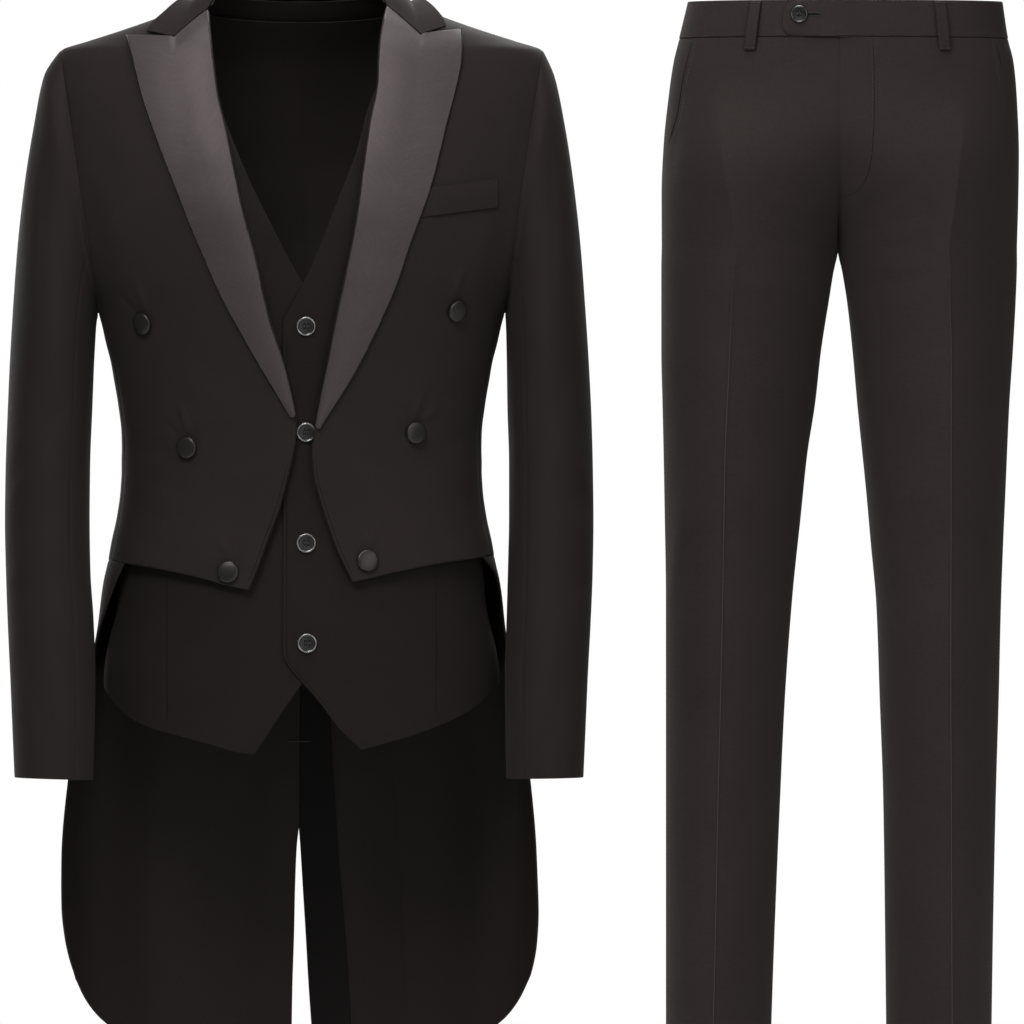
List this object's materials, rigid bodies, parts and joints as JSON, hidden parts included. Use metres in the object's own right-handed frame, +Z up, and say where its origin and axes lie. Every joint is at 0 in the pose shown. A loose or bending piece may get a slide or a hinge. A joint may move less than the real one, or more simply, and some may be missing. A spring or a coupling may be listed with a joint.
{
  "type": "tailcoat suit",
  "caption": "Man's evening suit as filled-out hollow cloth: a tailcoat with satin peak lapels over a waistcoat, and creased trousers beside it.",
  "frame": {"origin": "middle of the base of the coat's neck, level with the points where the shoulder seams meet the collar, where the wearer holds the coat", "axes": "+Z up, -Y the front of the suit, +X the wearer's left; the trousers stand beside the coat towards +X"},
  "size_m": [0.8999, 0.2498, 1.0665],
  "materials": {
    "coat_wool": "smooth matt wool",
    "lapel_satin": "satin",
    "waistcoat_wool": "fine matt wool",
    "trouser_wool": "matt charcoal wool",
    "covered_button": "cloth-covered",
    "horn_button": "polished"
  },
  "bodies": {
    "root": {"coat_front_left": "coat_wool", "coat_front_right": "coat_wool", "coat_side_left": "coat_wool", "coat_side_right": "coat_wool", "coat_back_left": "coat_wool", "coat_back_right": "coat_wool", "coat_skirt_left": "coat_wool", "coat_skirt_right": "coat_wool", "lapel_left": "lapel_satin", "lapel_right": "lapel_satin", "sleeve_top_left": "coat_wool", "sleeve_top_right": "coat_wool", "sleeve_under_left": "coat_wool", "sleeve_under_right": "coat_wool", "collar_fall": "coat_wool", "collar_stand": "coat_wool", "vent_facing": "coat_wool", "breast_pocket_welt": "coat_wool", "coat_button_1": "covered_button", "coat_button_2": "covered_button", "coat_button_3": "covered_button", "coat_button_4": "covered_button", "coat_button_5": "covered_button", "coat_button_6": "covered_button", "waistcoat_front_left": "waistcoat_wool", "waistcoat_front_right": "waistcoat_wool", "waistcoat_back_left": "waistcoat_wool", "waistcoat_back_right": "waistcoat_wool", "waistcoat_button_1": "horn_button", "waistcoat_button_2": "horn_button", "waistcoat_button_3": "horn_button", "waistcoat_button_4": "horn_button", "trouser_front_left": "trouser_wool", "trouser_front_right": "trouser_wool", "trouser_back_left": "trouser_wool", "trouser_back_right": "trouser_wool", "waistband_left": "trouser_wool", "waistband_right": "trouser_wool", "belt_loop_1": "trouser_wool", "belt_loop_2": "trouser_wool", "belt_loop_3": "trouser_wool", "belt_loop_4": "trouser_wool", "belt_loop_5": "trouser_wool", "waistband_button": "horn_button"}
  },
  "joints": []
}
